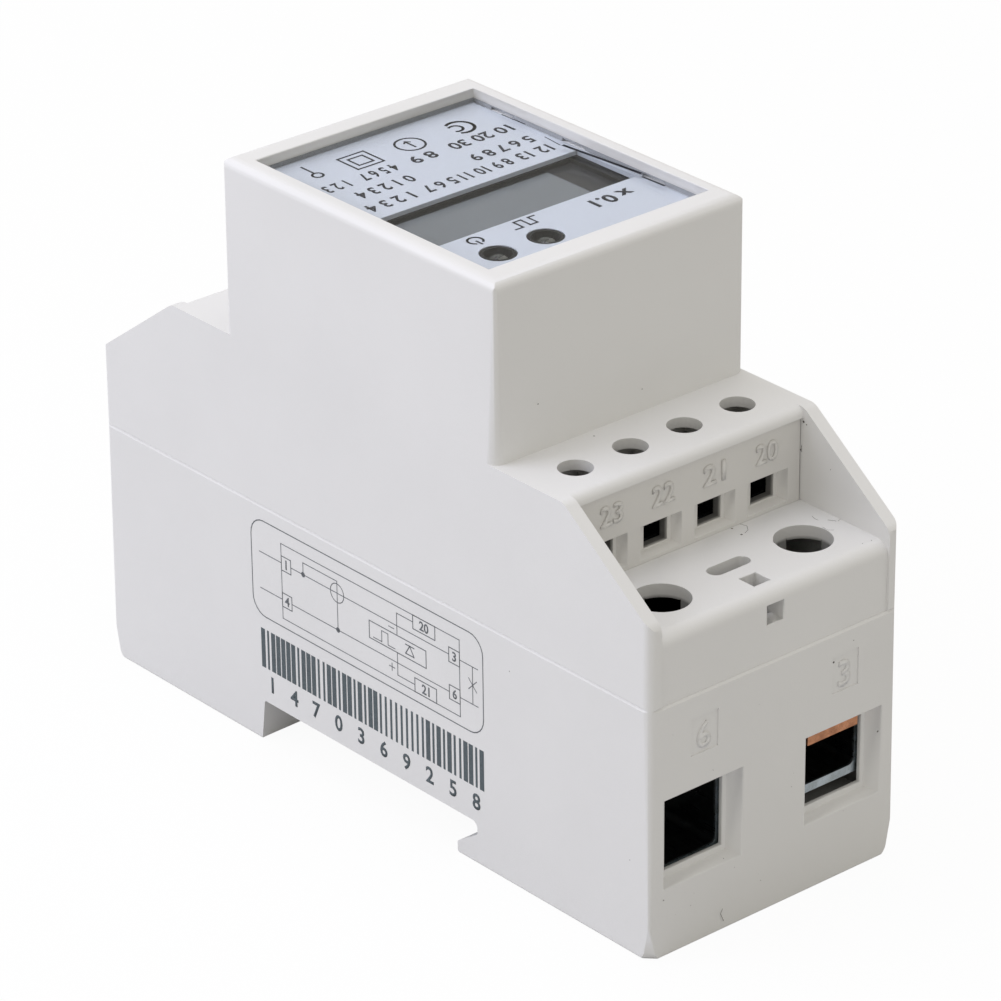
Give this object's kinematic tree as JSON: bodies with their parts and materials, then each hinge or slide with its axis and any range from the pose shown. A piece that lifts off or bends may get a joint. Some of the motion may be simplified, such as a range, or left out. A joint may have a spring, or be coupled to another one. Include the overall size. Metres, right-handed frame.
{
  "type": "din rail energy meter",
  "caption": "Two-module rail-mounted energy meter: stepped pale housing, sunk display window with indicators, rising-cage terminals at both ends, auxiliary terminals and a sprung rail latch.",
  "frame": {"origin": "centre of the footprint, on the plane of the feet that lie on the rail side", "axes": "+X along the rail, +Y from the end with terminals 3 and 6 to the other end, +Z from the rail to the display"},
  "size_m": [0.0354, 0.0918, 0.0694],
  "materials": {
    "base_plastic": "fine satin moulding",
    "cover_plastic": "fine satin moulding",
    "clear_plastic": "clear moulded window",
    "printed_plate": "silver blue with dark print",
    "black_plastic": "satin",
    "display_glass": "dark grey display",
    "led_resin": "clear resin",
    "steel": "plated",
    "zinc_steel": "zinc plated",
    "copper": "bare copper",
    "shunt_alloy": "manganin strip",
    "board": "green solder mask",
    "tinned_pins": "tinned",
    "capacitor_yellow": "moulded box",
    "capacitor_sleeve": "sleeved can",
    "varistor_blue": "epoxy coat",
    "crystal_can": "metal can",
    "clip_plastic": "satin"
  },
  "bodies": {
    "housing": {"lower_housing": "base_plastic", "upper_housing": "cover_plastic", "aux_terminal_block": "cover_plastic", "display_lens": "clear_plastic", "face_plate": "printed_plate", "lcd_frame": "black_plastic", "lcd_display": "display_glass", "led_holder": "black_plastic", "led_power": "led_resin", "led_pulse": "led_resin", "clip_spring": "steel", "live_in_busbar": "copper", "live_out_busbar": "copper", "shunt": "shunt_alloy", "neutral_busbar": "copper", "aux_contact_20": "tinned_pins", "aux_contact_21": "tinned_pins", "aux_contact_22": "tinned_pins", "aux_contact_23": "tinned_pins", "main_board": "board", "display_board": "board", "board_header": "black_plastic", "sense_pins": "tinned_pins", "film_capacitor": "capacitor_yellow", "electrolytic_capacitor": "capacitor_sleeve", "varistor": "varistor_blue", "optocoupler_a": "black_plastic", "optocoupler_b": "black_plastic", "metering_chip": "black_plastic", "crystal": "crystal_can", "microcontroller": "black_plastic"},
    "rail_latch": {"din_clip": "clip_plastic"},
    "screw_1": {"main_screw_1": "steel"},
    "cage_1": {"main_cage_1": "zinc_steel"},
    "screw_3": {"main_screw_3": "steel"},
    "cage_3": {"main_cage_3": "zinc_steel"},
    "screw_4": {"main_screw_4": "steel"},
    "cage_4": {"main_cage_4": "zinc_steel"},
    "screw_6": {"main_screw_6": "steel"},
    "cage_6": {"main_cage_6": "zinc_steel"},
    "aux_screw_body_20": {"aux_screw_20": "steel"},
    "aux_cage_body_20": {"aux_cage_20": "zinc_steel"},
    "aux_screw_body_21": {"aux_screw_21": "steel"},
    "aux_cage_body_21": {"aux_cage_21": "zinc_steel"},
    "aux_screw_body_22": {"aux_screw_22": "steel"},
    "aux_cage_body_22": {"aux_cage_22": "zinc_steel"},
    "aux_screw_body_23": {"aux_screw_23": "steel"},
    "aux_cage_body_23": {"aux_cage_23": "zinc_steel"}
  },
  "joints": [
    {"name": "latch_slide", "type": "slide", "parent": "housing", "child": "rail_latch", "axis": [0, 1, 0], "range_m": [0, 0.003], "stiffness_N_per_m": 1500, "springref_m": -0.002, "deforming": ["clip_spring"]},
    {"name": "screw_1_turn", "type": "hinge", "parent": "housing", "child": "screw_1", "pos_m": [0.01005, 0.0391, 0.03], "axis": [0, 0, 1], "range_deg": [-2700, 0]},
    {"name": "cage_1_rise", "type": "slide", "parent": "housing", "child": "cage_1", "axis": [0, 0, 1], "range_m": [0, 0.006]},
    {"name": "screw_3_turn", "type": "hinge", "parent": "housing", "child": "screw_3", "pos_m": [0.01005, -0.0391, 0.03], "axis": [0, 0, 1], "range_deg": [-1800, 900]},
    {"name": "cage_3_rise", "type": "slide", "parent": "housing", "child": "cage_3", "axis": [0, 0, 1], "range_m": [-0.002, 0.004]},
    {"name": "screw_4_turn", "type": "hinge", "parent": "housing", "child": "screw_4", "pos_m": [-0.01005, 0.0391, 0.03], "axis": [0, 0, 1], "range_deg": [-2700, 0]},
    {"name": "cage_4_rise", "type": "slide", "parent": "housing", "child": "cage_4", "axis": [0, 0, 1], "range_m": [0, 0.006]},
    {"name": "screw_6_turn", "type": "hinge", "parent": "housing", "child": "screw_6", "pos_m": [-0.01005, -0.0391, 0.03], "axis": [0, 0, 1], "range_deg": [-2700, 0]},
    {"name": "cage_6_rise", "type": "slide", "parent": "housing", "child": "cage_6", "axis": [0, 0, 1], "range_m": [0, 0.006]},
    {"name": "screw_20_turn", "type": "hinge", "parent": "housing", "child": "aux_screw_body_20", "pos_m": [0.0114, -0.02735, 0.045], "axis": [0, 0, 1], "range_deg": [-1440, 0]},
    {"name": "cage_20_rise", "type": "slide", "parent": "housing", "child": "aux_cage_body_20", "axis": [0, 0, 1], "range_m": [0, 0.002]},
    {"name": "screw_21_turn", "type": "hinge", "parent": "housing", "child": "aux_screw_body_21", "pos_m": [0.0038, -0.02735, 0.045], "axis": [0, 0, 1], "range_deg": [-1440, 0]},
    {"name": "cage_21_rise", "type": "slide", "parent": "housing", "child": "aux_cage_body_21", "axis": [0, 0, 1], "range_m": [0, 0.002]},
    {"name": "screw_22_turn", "type": "hinge", "parent": "housing", "child": "aux_screw_body_22", "pos_m": [-0.0038, -0.02735, 0.045], "axis": [0, 0, 1], "range_deg": [-1440, 0]},
    {"name": "cage_22_rise", "type": "slide", "parent": "housing", "child": "aux_cage_body_22", "axis": [0, 0, 1], "range_m": [0, 0.002]},
    {"name": "screw_23_turn", "type": "hinge", "parent": "housing", "child": "aux_screw_body_23", "pos_m": [-0.0114, -0.02735, 0.045], "axis": [0, 0, 1], "range_deg": [-1440, 0]},
    {"name": "cage_23_rise", "type": "slide", "parent": "housing", "child": "aux_cage_body_23", "axis": [0, 0, 1], "range_m": [0, 0.002]}
  ],
  "couplings": [
    {"joint": "screw_1_turn", "follows": "cage_1_rise", "rad_per_m": -7854},
    {"joint": "screw_3_turn", "follows": "cage_3_rise", "rad_per_m": -7854},
    {"joint": "screw_4_turn", "follows": "cage_4_rise", "rad_per_m": -7854},
    {"joint": "screw_6_turn", "follows": "cage_6_rise", "rad_per_m": -7854},
    {"joint": "screw_20_turn", "follows": "cage_20_rise", "rad_per_m": -12566},
    {"joint": "screw_21_turn", "follows": "cage_21_rise", "rad_per_m": -12566},
    {"joint": "screw_22_turn", "follows": "cage_22_rise", "rad_per_m": -12566},
    {"joint": "screw_23_turn", "follows": "cage_23_rise", "rad_per_m": -12566}
  ]
}
